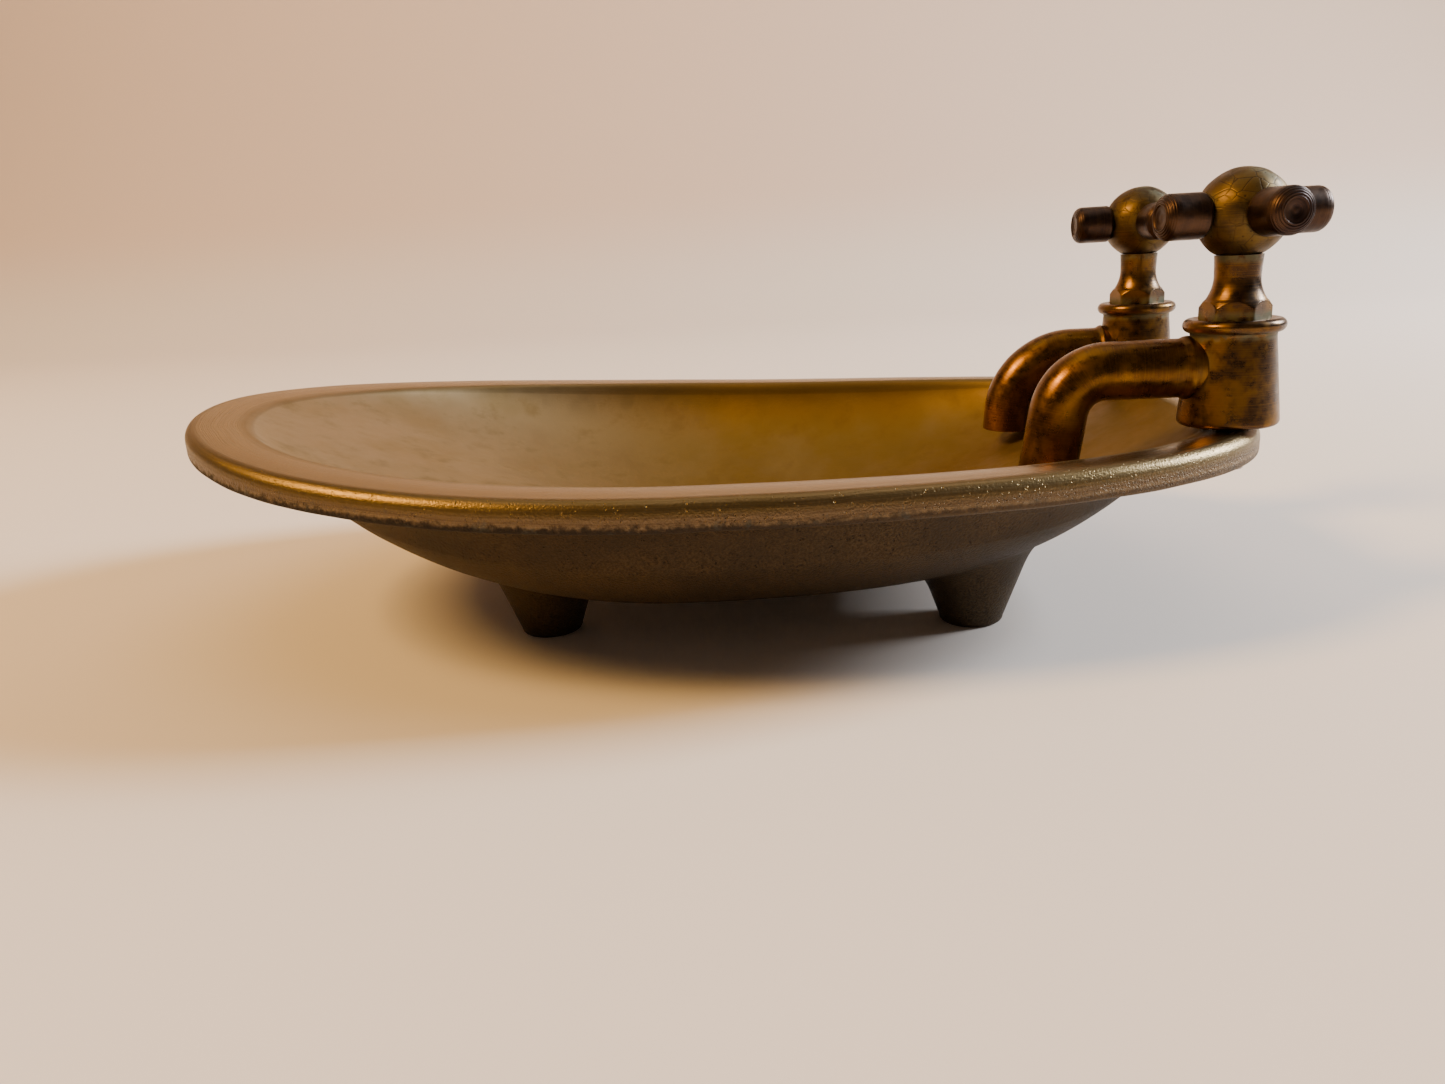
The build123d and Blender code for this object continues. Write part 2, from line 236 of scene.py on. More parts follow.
def skirt_plan(angle):
    """The line where the shell meets the underside of the rim."""
    return plan(angle, HALF_LENGTH - SHELL_INSET_END, HALF_WIDTH - SHELL_INSET_SIDE,
                TAP_END_POWER, SHELL_SHIFT)


def bend(a, corner, b, t):
    """Point at share t of a rounded corner from a to b."""
    return (1 - t) ** 2 * a + 2 * t * (1 - t) * corner + t ** 2 * b


def tub_rows(angle):
    """Rows of the tub from the middle of the basin, over the rim, to the middle underneath."""
    rim = plan(angle, RIM_HALF_LENGTH, RIM_HALF_WIDTH, TAP_END_POWER)
    mouth = plan(angle, MOUTH_HALF_LENGTH, MOUTH_HALF_WIDTH, MOUTH_TAP_POWER, MOUTH_SHIFT)
    skirt = skirt_plan(angle)
    inward = mouth - rim
    width = np.linalg.norm(inward, axis=1, keepdims=True)
    inward = inward / width
    rows, zones = [], []

    def add(point, zone):
        rows.append(point)
        zones.append(zone)

    def at(xy, z):
        return np.concatenate([xy, z[:, None]], axis=1)

    mouth_z = rim_height(mouth[:, 0])
    basin = [wall(angle, mouth, mouth_z, FLOOR_TOP, BASIN_FLATS, BASIN_POWERS, r)
             for r in np.sin(np.linspace(0.004, math.pi / 2, 64)) * BASIN_REACH]
    for point in basin:
        add(point, "basin")
    lip_in = basin[-1]
    lip_xy = mouth - inward * LIP_ROUND * 1.3
    lip_out = at(lip_xy, rim_height(lip_xy[:, 0]))
    corner = at(mouth, mouth_z)
    for t in np.linspace(0, 1, 8)[1:]:
        add(bend(lip_in, corner, lip_out, t), "lip")
    shoulder_xy = rim + inward * RIM_SHOULDER
    for t in np.linspace(0, 1, 12)[1:]:
        xy = lip_xy + t * (shoulder_xy - lip_xy)
        camber = CREST_CAMBER * math.sin(math.pi * t)
        add(at(xy, rim_height(xy[:, 0]) + camber), "crest")
    edge_z = rim_height(rim[:, 0])
    for t in np.linspace(0, math.pi / 2, 12)[1:]:
        xy = rim + inward * RIM_SHOULDER * (1 - math.sin(t))
        top = rim_height(xy[:, 0])
        add(at(xy, top - RIM_SHOULDER * (1 - math.cos(t))), "shoulder")
    low = edge_z - RIM_THICKNESS
    flat_edge = RIM_THICKNESS - RIM_SHOULDER - RIM_UNDER_ROUND
    for t in np.linspace(0, 1, 6)[1:]:
        add(at(rim, edge_z - RIM_SHOULDER - t * flat_edge), "edge")
    for t in np.linspace(0, math.pi / 2, 6)[1:]:
        xy = rim + inward * RIM_UNDER_ROUND * (1 - math.cos(t))
        add(at(xy, low + RIM_UNDER_ROUND * (1 - math.sin(t))), "edge")
    skirt_z = rim_height(skirt[:, 0]) - RIM_THICKNESS
    fillet_xy = skirt + (rim - skirt) * UNDER_FILLET
    under_xy = rim + inward * RIM_UNDER_ROUND
    for t in np.linspace(0, 1, 6)[1:]:
        xy = under_xy + t * (fillet_xy - under_xy)
        add(at(xy, rim_height(xy[:, 0]) - RIM_THICKNESS), "under")
    shell = (angle, skirt, skirt_z, SHELL_BOTTOM, SHELL_FLATS, SHELL_POWERS)
    shell_start = wall(*shell, SHELL_REACH)
    fillet_start = at(fillet_xy, rim_height(fillet_xy[:, 0]) - RIM_THICKNESS)
    for t in np.linspace(0, 1, 9)[1:]:
        add(bend(fillet_start, at(skirt, skirt_z), shell_start, t), "under")
    inward_steps = np.sin(np.linspace(SHELL_REACH_ANGLE, 0.004, 60)[1:])
    for r in inward_steps / math.sin(SHELL_REACH_ANGLE) * SHELL_REACH:
        add(wall(*shell, r), "under")
    return np.array(rows), zones


ZONE_WEIGHTS = {            # crest, edge, basin; the rest is the cast underside
    "basin": (0, 0, 1), "lip": (0.6, 0, 0.4), "crest": (1, 0, 0),
    "shoulder": (0.75, 0.25, 0), "edge": (0, 1, 0), "under": (0, 0, 0)}


def make_tub(material):
    columns = 560
    angle = even_angles(columns)
    rows, zones = tub_rows(angle)
    points = rows.reshape(-1, 3)
    faces = grid_faces(len(rows), columns)
    weights = np.array([ZONE_WEIGHTS[z] for z in zones], dtype=float)
    for _ in range(2):
        weights[1:-1] = (weights[:-2] + 2 * weights[1:-1] + weights[2:]) / 4
    layers = {n: np.repeat(weights[:, i], columns) for i, n in enumerate(("crest", "edge", "basin"))}
    run = np.linalg.norm(np.diff(rows, axis=0), axis=2).mean(axis=1)
    across = np.concatenate([[0], np.cumsum(run)]) - run[:zones.index("edge")].sum()
    layers["across"] = np.repeat(across, columns)
    waviness = 0.10 * smooth_noise(points, 17.0, 1) + 0.05 * smooth_noise(points, 6.0, 2)
    under = 1 - layers["crest"] - layers["basin"]
    points[:, 2] += waviness * (0.25 + 0.9 * under)
    centre = len(points)
    points = np.concatenate([points, [rows[0].mean(axis=0), rows[-1].mean(axis=0)]])
    last = (len(rows) - 1) * columns
    for c in range(columns):
        after = (c + 1) % columns
        faces.append((centre, after, c))
        faces.append((centre + 1, last + c, last + after))
    for name in layers:
        layers[name] = np.concatenate([layers[name], layers[name][[0, -1]]])
    faces = [f[::-1] for f in faces]
    foot_points, foot_faces = make_feet(len(points))
    count = len(foot_points)
    for name in layers:
        layers[name] = np.concatenate([layers[name], np.zeros(count)])
    points = np.concatenate([points, foot_points])
    points[:, 0] += TUB_X
    tub = new_piece("bath_tub", points, faces + foot_faces, material, layers)
    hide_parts("tub")
    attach(tub, "dish")


def shell_height(x, y):
    """Height of the tub's underside above the point x, y near the feet."""
    fine = np.linspace(-math.pi, math.pi, 4001)
    skirt = skirt_plan(fine)
    bearing = np.unwrap(np.arctan2(skirt[:, 1], skirt[:, 0] - BOTTOM_X))
    radius = np.linalg.norm(skirt - [BOTTOM_X, 0], axis=1)
    here = np.arctan2(y, x - BOTTOM_X)
    angle = np.interp(here, bearing, fine)
    reach = np.hypot(x - BOTTOM_X, y) / np.interp(here, bearing, radius)
    top = skirt_plan(angle)
    top_z = rim_height(top[:, 0]) - RIM_THICKNESS
    return wall(angle, top, top_z, SHELL_BOTTOM, SHELL_FLATS, SHELL_POWERS, reach)[:, 2]


def make_feet(offset):
    """Four stub feet whose sides flow into the underside, each closed inside the tub's wall."""
    columns = 96
    around = np.arange(columns) * 2 * math.pi / columns
    flat_r = FOOT_TIP_R - FOOT_ROUND
    tip_radii = flat_r + FOOT_ROUND * np.sin(np.linspace(0, math.pi / 2, 7))
    side_radii = np.linspace(FOOT_TIP_R, FOOT_REACH, 46)[1:]
    radii = np.concatenate([[0.4, 2.0, 3.4], tip_radii, side_radii])
    points, faces = [], []
    for fx, fy in ((x, y) for x in FOOT_X for y in (-FOOT_Y, FOOT_Y)):
        rows = []
        for radius in radii:
            x, y = fx + radius * np.cos(around), fy + radius * np.sin(around)
            round_z = FOOT_ROUND
            if radius < FOOT_TIP_R:
                past_flat = max(0.0, radius - flat_r)
                round_z -= math.sqrt(max(0.0, FOOT_ROUND ** 2 - past_flat ** 2))
            side = round_z + FOOT_SLOPE * max(0.0, radius - FOOT_TIP_R)
            shell = shell_height(x, y) - 0.02
            gap = np.clip(0.5 + 0.5 * (shell - side) / FOOT_BLEND, 0, 1)
            z = shell * (1 - gap) + side * gap - FOOT_BLEND * gap * (1 - gap)
            z = z if radius > FOOT_TIP_R else np.full(columns, round_z)
            rows.append(np.stack([x, y, z], -1))
        inside = rows[-1].copy()
        inside[:, 2] += FOOT_CAP
        rows.append(inside)
        base = offset + sum(len(p) for p in points)
        grid = np.array(rows).reshape(-1, 3)
        grid = np.concatenate([grid, [[fx, fy, 0.0], inside.mean(axis=0)]])
        points.append(grid)
        faces += [f[::-1] for f in grid_faces(len(rows), columns, base)]
        tip, cap = base + len(grid) - 2, base + len(grid) - 1
        last = base + (len(rows) - 1) * columns
        for c in range(columns):
            after = (c + 1) % columns
            faces.append((tip, base + after, base + c))
            faces.append((cap, last + c, last + after))
    return np.concatenate(points), faces


# ---------------------------------------------------------------- turned pieces
def turned(profile, columns=160, radius_limit=None):
    """Solid of revolution about Z from (radius, height) points, with the run along its outline."""
    profile = np.asarray(profile, dtype=float)
    around = np.arange(columns) * 2 * math.pi / columns
    radius = np.repeat(profile[:, :1], columns, axis=1)
    if radius_limit is not None:
        radius = np.minimum(radius, radius_limit(around, profile[:, 1:2]))
    x, y = radius * np.cos(around), radius * np.sin(around)
    z = np.repeat(profile[:, 1:2], columns, axis=1)
    points = np.stack([x, y, z], -1).reshape(-1, 3)
    faces = grid_faces(len(profile), columns)
    low, high = len(points), len(points) + 1
    points = np.concatenate([points, [[0, 0, profile[0, 1]], [0, 0, profile[-1, 1]]]])
    last = (len(profile) - 1) * columns
    for c in range(columns):
        after = (c + 1) % columns
        faces.append((low, after, c))
        faces.append((high, last + c, last + after))
    run = np.concatenate([[0], np.cumsum(np.linalg.norm(np.diff(profile, axis=0), axis=1))])
    layer = np.concatenate([np.repeat(run, columns), run[[0, -1]]])
    return points, faces, layer


def arc(cx, cz, radius, start, end, steps=10):
    """Points of an arc in the radius-height plane, angles in degrees."""
    angles = np.radians(np.linspace(start, end, steps + 1))
    return [(cx + radius * math.cos(a), cz + radius * math.sin(a)) for a in angles]


def line(a, b, steps):
    """Evenly spaced points from a to b, without a itself."""
    across, up = b[0] - a[0], b[1] - a[1]
    return [(a[0] + across * i / steps, a[1] + up * i / steps) for i in range(1, steps + 1)]


def body_profile(base):
    round_r = 0.7
    points = [(0.6, base), (BODY_BASE_R - 2.5, base), (BODY_BASE_R - round_r, base)]
    points += arc(BODY_BASE_R - round_r, base + round_r, round_r, -80, 4, 8)
    points += line(points[-1], (BODY_TOP_R, BEAD_Z - 0.5), 26)
    points += [(BODY_TOP_R + 0.03, BEAD_Z - 0.2), (BODY_TOP_R + 0.15, BEAD_Z)]
    points += arc(BEAD_R - BEAD_H / 2, BEAD_Z + BEAD_H / 2, BEAD_H / 2, -90, 80, 16)
    top = BEAD_Z + BEAD_H
    points += [(BEAD_R - 1.3, top - 0.1), (5.2, top - 0.25), (0.5, top - 0.25)]
    return points


def bonnet_profile():
    """The hexagon's corners, its chamfered crown, and the waisted neck above it."""
    low, high = BEAD_Z + BEAD_H - 0.3, BEAD_Z + BEAD_H + HEX_H
    points = [(0.5, low), (4.0, low), (HEX_CORNER_R - 0.15, low), (HEX_CORNER_R, low + 0.2)]
    points += line(points[-1], (HEX_CORNER_R, high - 0.9), 8)
    points += line(points[-1], (NECK_FLARE_R + 0.15, high - 0.05), 12)
    for i in range(1, 40):
        t = i / 39
        flare = (NECK_FLARE_R - NECK_WAIST_R) * max(0.0, 1 - t / 0.55) ** 2.2
        spread = (NECK_TOP_R - NECK_WAIST_R) * max(0.0, (t - 0.5) / 0.5) ** 1.4
        points.append((NECK_WAIST_R + flare + spread, high + t * (NECK_TOP_Z - high)))
    points += [(NECK_TOP_R - 0.15, NECK_TOP_Z), (1.0, NECK_TOP_Z)]
    return points


def hexagon_limit(around, height):
    """Radius of the hexagon's flats below its crown, and no limit on the neck above."""
    step = math.pi / 3
    flat = HEX_APOTHEM / np.cos((around + HEX_TURN) % step - step / 2)
    return np.where(height < BEAD_Z + BEAD_H + HEX_H, flat[None, :], 99.0)


def arm_profile():
    """An arm along Z before it is laid flat: shank, barrel, domed end and turned rings."""
    points = [(0.4, ARM_SHANK_START), (ARM_SHANK_R, ARM_SHANK_START)]
    points += line(points[-1], (ARM_SHANK_R, ARM_START - 0.1), 6)
    points += [(ARM_SHANK_R + 0.1, ARM_START), (ARM_R - 0.55, ARM_START)]
    points += arc(ARM_R - 0.5, ARM_START + 0.5, 0.5, -80, 0, 6)
    shoulder = ARM_END - ARM_DOME
    points += line(points[-1], (ARM_R, shoulder - 0.05), 12)
    points.append((ARM_R - 0.02, shoulder))
    for i in range(1, 37):
        t = math.pi / 2 * i / 36
        ring = 0.045 * math.sin(6.2 * 2 * math.pi * i / 36)
        radius = ARM_FACE_R + (ARM_R - ARM_FACE_R) * math.cos(t)
        points.append((radius, shoulder + (ARM_DOME - 0.1) * math.sin(t) + ring))
    face = ARM_END - 0.1
    points += [(1.62, face - 0.12), (1.5, face - 0.14), (1.0, face - 0.1)]
    points += [(0.92, face - 0.16), (0.3, face - 0.1)]
    return points


def ball_profile():
    foot = NECK_TOP_Z + 0.03
    low = math.degrees(math.asin((foot + 0.09 - BALL_Z) / BALL_R))
    return [(0.6, foot), (3.0, foot)] + arc(0, BALL_Z, BALL_R, low, 89.6, 72)


def dented(points, size, depth, seed):
    """Hand-finished unevenness: points pushed towards or away from the middle by smooth noise."""
    centre = points.mean(axis=0)
    away = points - centre
    away /= np.maximum(np.linalg.norm(away, axis=1, keepdims=True), 1e-6)
    push = depth * (smooth_noise(points, size, seed) - 0.5)
    return points + away * push[:, None]


def near(points, spots, reach):
    """How close each point is to the nearest spot: 1 on it, 0 beyond reach."""
    distance = np.min([np.linalg.norm(points - s, axis=1) for s in spots], axis=0)
    return np.clip(1 - distance / reach, 0, 1)


def spout_line(height, end, corner, outlet, bend):
    """The elbow's middle line as (x, z, tilt), level at the body and leaning out at the outlet."""
    lean = math.atan2(outlet - corner, height - end)
    turn = math.pi / 2 - lean
    tangent = bend * math.tan(turn / 2)
    start = tangent - corner
    middle = [(SPOUT_START + (start - SPOUT_START) * i / 24, height, 0.0) for i in range(25)]
    for i in range(1, 41):
        a = turn * i / 40
        middle.append((start - bend * math.sin(a), height - bend * (1 - math.cos(a)), a))
    x, z, _ = middle[-1]
    middle += [(x + (-outlet - x) * i / 20, z + (end - z) * i / 20, turn) for i in range(1, 21)]
    return middle


def spout_mesh(layout, columns=112):
    """The elbow as rings round its line, with a small brazed fillet at the body and a bored outlet."""
    middle = spout_line(*layout)
    outer = SPOUT_R - 0.03
    rings = []
    for place in middle[:-1]:
        fillet = 0.45 * math.exp(-((place[0] + 6.5) / 0.5) ** 2) * (place[0] < -5.0)
        rings.append((place, outer + fillet))
    x, z, tilt = middle[-1]
    outlet = ((outer, 0.15), (SPOUT_R - 0.15, 0.02), (3.05, 0.0), (2.95, 0.25),
              (OUTLET_R, OUTLET_DEPTH - 0.5), (0.3, OUTLET_DEPTH))
    for radius, back in outlet:
        rings.append(((x + back * math.cos(tilt), z + back * math.sin(tilt), tilt), radius))
    around = np.arange(columns) * 2 * math.pi / columns
    points, run, total, previous = [], [], 0.0, rings[0][0]
    for (x, z, tilt), radius in rings:
        side = radius * np.cos(around)
        out = radius * np.sin(around)
        points.append(np.stack([x - out * math.sin(tilt), side, z + out * math.cos(tilt)], -1))
        total += math.hypot(x - previous[0], z - previous[1])
        previous = (x, z, tilt)
        run.append(total)
    grid = np.array(points).reshape(-1, 3)
    faces = grid_faces(len(rings), columns)
    first, last = len(grid), len(grid) + 1
    grid = np.concatenate([grid, [points[0].mean(axis=0), points[-1].mean(axis=0)]])
    tail = (len(rings) - 1) * columns
    for c in range(columns):
        after = (c + 1) % columns
        faces.append((first, after, c))
        faces.append((last, tail + c, tail + after))
    layer = np.concatenate([np.repeat(run, columns), [run[0], run[-1]]])
    return grid, faces, layer


def place_piece(name, points, faces, layers, material, origin, body, node, sharp=None):
    piece = new_piece(name, points + np.array(origin), faces, material, layers, sharp)
    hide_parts(node)
    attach(piece, body)
    return piece


def tap_axis(side):
    low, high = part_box(f"{side}_tap_body")
    return np.array([(low[0] + high[0]) / 2, (low[1] + high[1]) / 2, 0]) / MM


def turned_about_z(points, degrees):
    a = math.radians(degrees)
    x, y, z = points.T
    return np.stack([x * math.cos(a) - y * math.sin(a), x * math.sin(a) + y * math.cos(a), z], -1)


def make_tap(side, seed, looks):
    drop = TAP_DROP[side]
    origin = tap_axis(side) - [0, 0, drop]
    handle = f"{side}_handle"
    rest = HANDLE_TURN[side]
    layout = SPOUT_LAYOUT[side]
    points, faces, run = turned(body_profile(SEAT_Z + drop))
    joint = near(points, [np.array([-6.2, 0, layout[0]])], 7.0)
    joint += 0.8 * near(points * [0, 0, 1], [np.array([0, 0, BEAD_Z - 0.3])], 1.0)
    points = dented(points, 5.0, 0.05, seed)
    place_piece(f"{side}_barrel", points, faces, {"turned": run, "joint": joint}, looks["tap"],
                origin, "dish", f"{side}_tap_body", 50)
    points, faces, run = spout_mesh(layout)
    joint = near(points, [np.array([-6.6, 0, layout[0]])], 6.0)
    points = dented(points, 6.0, 0.10, seed + 1)
    place_piece(f"{side}_spout_elbow", points, faces, {"turned": run, "joint": joint}, looks["spout"],
                origin, "dish", f"{side}_spout", 50)
    points, faces, run = turned(bonnet_profile(), 240, hexagon_limit)
    rings = points * [0, 0, 1]
    joint = near(rings, [np.array([0, 0, BEAD_Z + BEAD_H])], 1.6)
    joint += near(rings, [np.array([0, 0, NECK_TOP_Z])], 1.5)
    place_piece(f"{side}_neck_and_hexagon", points, faces, {"turned": run, "joint": joint},
                looks["tap"], origin, "dish", f"{side}_bonnet", 28)
    points, faces, run = turned(ball_profile(), 180)
    quarters = (0, math.pi / 2, math.pi, -math.pi / 2)
    shanks = [np.array([5.6 * math.cos(a), 5.6 * math.sin(a), BALL_Z]) for a in quarters]
    joint = near(points, shanks, 4.4) + near(points, [np.array([1.5, -2, BALL_Z + BALL_R])], 5.0)
    points = turned_about_z(dented(points, 2.6, 0.10, seed + 2), rest)
    place_piece(f"{side}_ball", points, faces, {"turned": run, "joint": joint}, looks["ball"],
                origin, handle, f"{side}_handle_ball")
    for number in range(4):
        points, faces, run = turned(arm_profile(), 96)
        joint = np.clip(1 - (points[:, 2] - ARM_SHANK_START) / 3.4, 0, 1)
        laid = turned_about_z(points[:, [2, 0, 1]], rest + 90 * number) + [0, 0, BALL_Z]
        place_piece(f"{side}_arm_{number + 1}", laid, faces, {"turned": run, "joint": joint},
                    looks["arm"], origin, handle, f"{side}_handle_arm_{number + 1}", 50)
    for node in ("washer", "spindle"):
        dress(f"{side}_{node}", looks["tap"])
    for node in ("fixing_screw", "spindle_clip"):
        dress(f"{side}_{node}", looks["steel"])


def dress(node, material):
    """Give a CAD piece that stays as it is a new material."""
    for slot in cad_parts[node].material_slots:
        slot.material = material


# ---------------------------------------------------------------- materials
class Graph:
    """Short helpers for building one material's nodes. Object coordinates are in mm."""

    def __init__(self, name):
        self.material = bpy.data.materials.new(name)
        self.material.use_nodes = True
        self.tree = self.material.node_tree
        self.shader = self.tree.nodes["Principled BSDF"]
        place = self.node("ShaderNodeTexCoord").outputs["Object"]
        self.place = self.scaled(place, (1000, 1000, 1000))

    def node(self, kind, **settings):
        node = self.tree.nodes.new(kind)
        for key, value in settings.items():
            setattr(node, key, value)
        return node

    def put(self, socket, value):
        if isinstance(value, bpy.types.NodeSocket):
            self.tree.links.new(value, socket)
        elif isinstance(value, tuple) and len(value) == 3 and socket.type == "RGBA":
            socket.default_value = (*value, 1)
        else:
            socket.default_value = value

    def scaled(self, vector, scale):
        node = self.node("ShaderNodeVectorMath", operation="MULTIPLY")
        self.put(node.inputs[0], vector)
        node.inputs[1].default_value = scale
        return node.outputs[0]

    def layer(self, name):
        return self.node("ShaderNodeAttribute", attribute_name=name).outputs["Fac"]

    def noise(self, size, detail=3.0, rough=0.5, stretch=(1, 1, 1), shift=0.0):
        node = self.node("ShaderNodeTexNoise", noise_dimensions="4D")
        self.put(node.inputs["Vector"], self.scaled(self.place, tuple(1 / (size * s) for s in stretch)))
        node.inputs["W"].default_value = shift
        node.inputs["Scale"].default_value = 1.0
        node.inputs["Detail"].default_value = detail
        node.inputs["Roughness"].default_value = rough
        return node.outputs["Fac"]

    def lines(self, value, size, shift=0.0, detail=2.0):
        """Random bands along one running value, such as the marks of a lathe tool."""
        node = self.node("ShaderNodeTexNoise", noise_dimensions="1D")
        self.put(node.inputs["W"], self.math("MULTIPLY_ADD", value, 1 / size, shift))
        node.inputs["Scale"].default_value = 1.0
        node.inputs["Detail"].default_value = detail
        return node.outputs["Fac"]

    def cells(self, size, feature="F1"):
        node = self.node("ShaderNodeTexVoronoi", voronoi_dimensions="3D", feature=feature)
        self.put(node.inputs["Vector"], self.scaled(self.place, (1 / size,) * 3))
        node.inputs["Scale"].default_value = 1.0
        return node.outputs["Distance"]

    def math(self, operation, a, b=0.0, c=0.0, clamp=False):
        node = self.node("ShaderNodeMath", operation=operation, use_clamp=clamp)
        for socket, value in zip(node.inputs, (a, b, c)):
            self.put(socket, value)
        return node.outputs[0]

    def band(self, value, low, high, to_low=0.0, to_high=1.0):
        node = self.node("ShaderNodeMapRange", interpolation_type="SMOOTHSTEP")
        for socket, number in zip(("Value", "From Min", "From Max", "To Min", "To Max"),
                                  (value, low, high, to_low, to_high)):
            self.put(node.inputs[socket], number)
        return node.outputs["Result"]

    def mix(self, factor, a, b):
        node = self.node("ShaderNodeMix", data_type="RGBA")
        self.put(node.inputs["Factor"], factor)
        self.put(node.inputs[6], a)
        self.put(node.inputs[7], b)
        return node.outputs[2]

    def blend(self, factor, a, b):
        node = self.node("ShaderNodeMix", data_type="FLOAT")
        self.put(node.inputs["Factor"], factor)
        self.put(node.inputs[2], a)
        self.put(node.inputs[3], b)
        return node.outputs[0]

    def along(self, axis):
        node = self.node("ShaderNodeSeparateXYZ")
        self.put(node.inputs[0], self.place)
        return node.outputs[axis]

    def finish(self, color, rough, height, depth, metal=1.0):
        bump = self.node("ShaderNodeBump")
        bump.inputs["Strength"].default_value = 1.0
        bump.inputs["Distance"].default_value = depth * MM
        self.put(bump.inputs["Height"], height)
        self.put(self.shader.inputs["Normal"], bump.outputs[0])
        self.put(self.shader.inputs["Base Color"], color)
        self.put(self.shader.inputs["Roughness"], rough)
        self.put(self.shader.inputs["Metallic"], metal)
        return self.material


def tub_material():
    g = Graph("cast_and_brushed_brass")
    crest, edge, basin = g.layer("crest"), g.layer("edge"), g.layer("basin")
    x, across = g.along("X"), g.layer("across")
    cloud = g.noise(16, 4, 0.55, shift=1)
    patch = g.noise(5.5, 5, 0.6, shift=2)
    grain = g.noise(0.35, 3, 0.6, shift=3)
    wander = g.math("MULTIPLY_ADD", g.noise(26, 2, 0.5, shift=7), 3.0, across)
    brush = g.lines(wander, 0.10, 4, 3)
    brush_wide = g.lines(wander, 0.55, 9, 3)
    pit = g.band(g.cells(0.55), 0.30, 0.10)
    speck = g.math("MULTIPLY", pit, g.band(g.noise(2.4, 3, 0.6, shift=6), 0.44, 0.60))

    crest_color = g.mix(g.band(brush_wide, 0.35, 0.68), (0.200, 0.140, 0.054), (0.285, 0.203, 0.088))
    crest_color = g.mix(g.band(cloud, 0.42, 0.70, 0.0, 0.6), crest_color, (0.215, 0.145, 0.036))
    # painted reflection: the front of the crest towards the head end is tinted amber where the warm
    # lamp shows in it
    painted_lamp_reflection = g.math("MULTIPLY", g.band(x, 30, -50, 0.0, 0.8), g.band(g.along("Y"), 10, -30))
    crest_color = g.mix(painted_lamp_reflection, crest_color, (0.200, 0.130, 0.022))
    # the basin turns paler towards the head end: partly a paler patina, partly a painted reflection of
    # the pale room
    head_patina_and_painted_reflection = g.band(x, 5, -70)
    basin_color = g.mix(head_patina_and_painted_reflection, (0.180, 0.108, 0.014), (0.320, 0.232, 0.125))
    basin_color = g.mix(g.band(cloud, 0.42, 0.66, 0.0, 0.45), basin_color, (0.225, 0.150, 0.050))
    basin_color = g.mix(g.band(patch, 0.50, 0.70, 0.0, 0.35), basin_color, (0.120, 0.070, 0.014))
    low_edge = g.band(g.math("MULTIPLY_ADD", g.noise(1.1, 4, 0.65, shift=9), 3.0, across), 1.9, 3.1)
    dark = g.math("MULTIPLY", low_edge, g.band(x, 90, -30, 0.35, 1.0))
    edge_color = g.mix(g.band(brush_wide, 0.35, 0.68), (0.130, 0.088, 0.048), (0.205, 0.145, 0.080))
    edge_color = g.mix(dark, edge_color, (0.030, 0.024, 0.019))
    tarnish = g.band(g.noise(2.2, 4, 0.6, shift=8), 0.56, 0.70, 0, 0.5)
    edge_color = g.mix(tarnish, edge_color, (0.070, 0.078, 0.070))
    under_color = g.mix(g.band(grain, 0.36, 0.66), (0.040, 0.027, 0.014), (0.090, 0.063, 0.034))
    under_color = g.mix(g.band(cloud, 0.42, 0.66, 0, 0.6), under_color, (0.034, 0.027, 0.020))
    under_color = g.mix(speck, under_color, (0.018, 0.012, 0.008))

    color = g.mix(crest, under_color, crest_color)
    color = g.mix(edge, color, edge_color)
    color = g.mix(basin, color, basin_color)
    worn = g.math("MULTIPLY", speck, g.math("SUBTRACT", 1.0, g.math("ADD", crest, basin, clamp=True)))
    color = g.mix(g.math("MULTIPLY", worn, 0.8), color, (0.04, 0.028, 0.018))

    crest_rough = g.band(brush, 0.3, 0.7, 0.20, 0.34)
    basin_rough = g.band(patch, 0.3, 0.7, 0.46, 0.60)
    edge_rough = g.blend(dark, 0.38, 0.72)
    under_rough = g.band(grain, 0.3, 0.7, 0.48, 0.66)
    rough = g.blend(crest, under_rough, crest_rough)
    rough = g.blend(edge, rough, edge_rough)
    rough = g.blend(basin, rough, basin_rough)

    smooth = g.math("MULTIPLY", brush, 0.05)
    cast = g.math("ADD", g.math("MULTIPLY", grain, 1.5), g.math("MULTIPLY", speck, -0.8))
    height = g.blend(g.math("ADD", crest, g.math("MULTIPLY", basin, 0.92), clamp=True), cast, smooth)
    height = g.math("ADD", height, g.math("MULTIPLY", worn, -0.5))
    metal = g.blend(basin, g.blend(crest, 0.80, 1.0), 0.82)
    return g.finish(color, rough, height, 0.18, metal)


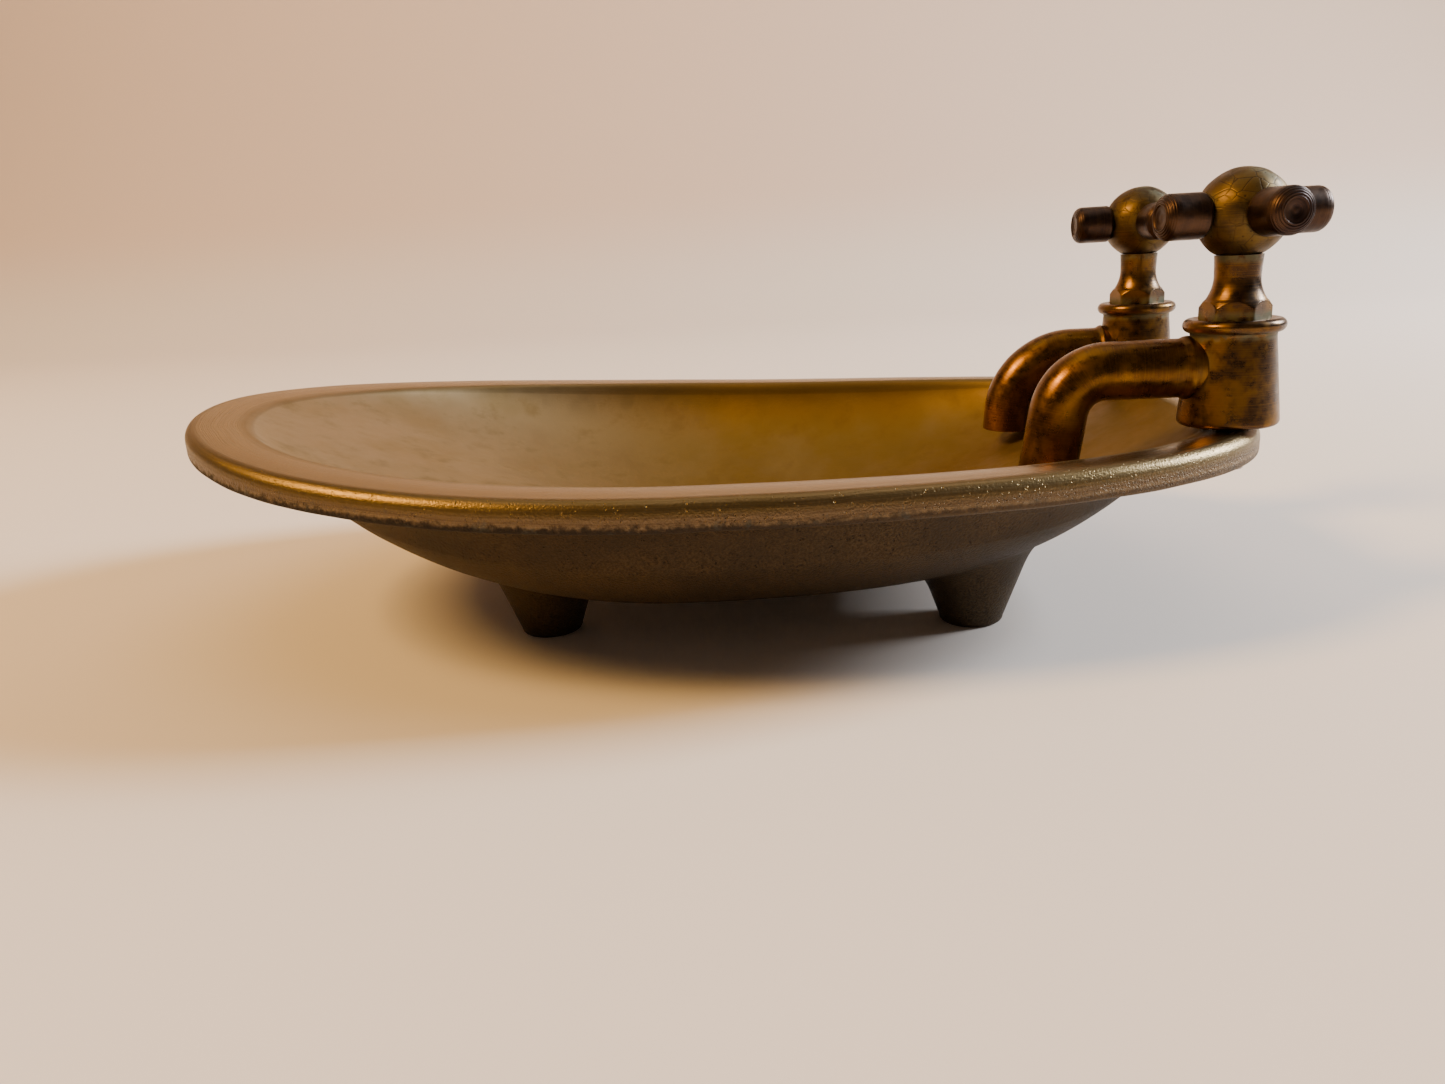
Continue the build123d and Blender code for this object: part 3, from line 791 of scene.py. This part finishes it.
def bronze(name, bright, dark, seed, green=0.7, rough=(0.24, 0.42), crackle=0.0, turning=0.35):
    """Aged tap brass: brown patina over turned metal, verdigris in the joints."""
    g = Graph(name)
    turned_run, joint = g.layer("turned"), g.layer("joint")
    cloud = g.noise(6.5, 4, 0.6, shift=seed)
    patch = g.noise(1.7, 5, 0.62, shift=seed + 1)
    fine = g.noise(0.28, 3, 0.6, shift=seed + 2)
    marks = g.lines(turned_run, 0.16, seed)
    scratch = g.noise(0.10, 2, 0.5, (1, 1, 26), shift=seed + 3)
    worn = g.band(g.math("MULTIPLY_ADD", patch, 0.5, cloud), 0.62, 0.88)
    color = g.mix(worn, dark, bright)
    color = g.mix(g.band(patch, 0.50, 0.72, 0, 0.2), color, tuple(c * 0.6 for c in dark))
    color = g.mix(g.band(marks, 0.40, 0.75, 0, 0.25), color, tuple(c * 1.5 for c in bright))
    moss = g.math("MULTIPLY", g.band(joint, 0.05, 0.75), g.band(patch, 0.36, 0.60))
    color = g.mix(g.math("MULTIPLY", moss, green), color, (0.105, 0.115, 0.060))
    height = g.math("ADD", g.math("MULTIPLY", marks, turning * 0.20), g.math("MULTIPLY", fine, 0.06))
    height = g.math("ADD", height, g.math("MULTIPLY", scratch, 0.02))
    roughness = g.math("ADD", g.band(patch, 0.3, 0.72, *rough), g.math("MULTIPLY", moss, 0.25))
    if crackle:
        crack = g.band(g.cells(2.1, "DISTANCE_TO_EDGE"), 0.0, 0.05, 1.0, 0.0)
        crack = g.math("MULTIPLY", crack, g.band(cloud, 0.40, 0.56))
        pit = g.band(g.cells(0.75), 0.30, 0.12)
        pit = g.math("MULTIPLY", pit, g.band(patch, 0.45, 0.62))
        flaw = g.math("MAXIMUM", crack, pit)
        color = g.mix(g.math("MULTIPLY", flaw, 0.75), color, (0.035, 0.022, 0.012))
        height = g.math("ADD", height, g.math("MULTIPLY", flaw, -crackle))
    metal = g.band(moss, 0.0, 0.8, 1.0, 0.55)
    return g.finish(color, roughness, height, 0.10, metal)


def steel():
    g = Graph("screw_steel")
    cloud = g.noise(0.9, 4, 0.6, shift=31)
    color = g.mix(g.band(cloud, 0.45, 0.65), (0.42, 0.40, 0.37), (0.16, 0.09, 0.05))
    return g.finish(color, g.band(cloud, 0.4, 0.65, 0.3, 0.6), cloud, 0.03)


def make_looks():
    return {
        "tap": bronze("turned_bronze", (0.180, 0.092, 0.018), (0.052, 0.031, 0.019), 11),
        "spout": bronze("spout_bronze", (0.220, 0.104, 0.013), (0.092, 0.042, 0.012), 17,
                        green=0.5, turning=0.1),
        "ball": bronze("cast_bronze", (0.130, 0.080, 0.021), (0.060, 0.040, 0.019), 23,
                       rough=(0.38, 0.56), crackle=0.2, turning=0.0),
        "arm": bronze("arm_bronze", (0.075, 0.043, 0.026), (0.032, 0.021, 0.019), 29,
                      green=0.35, rough=(0.32, 0.48), turning=0.12),
        "steel": steel()}


add_camera()
add_lights()
add_stage()
make_tub(tub_material())
looks = make_looks()
make_tap("front", 3, looks)
make_tap("rear", 40, looks)
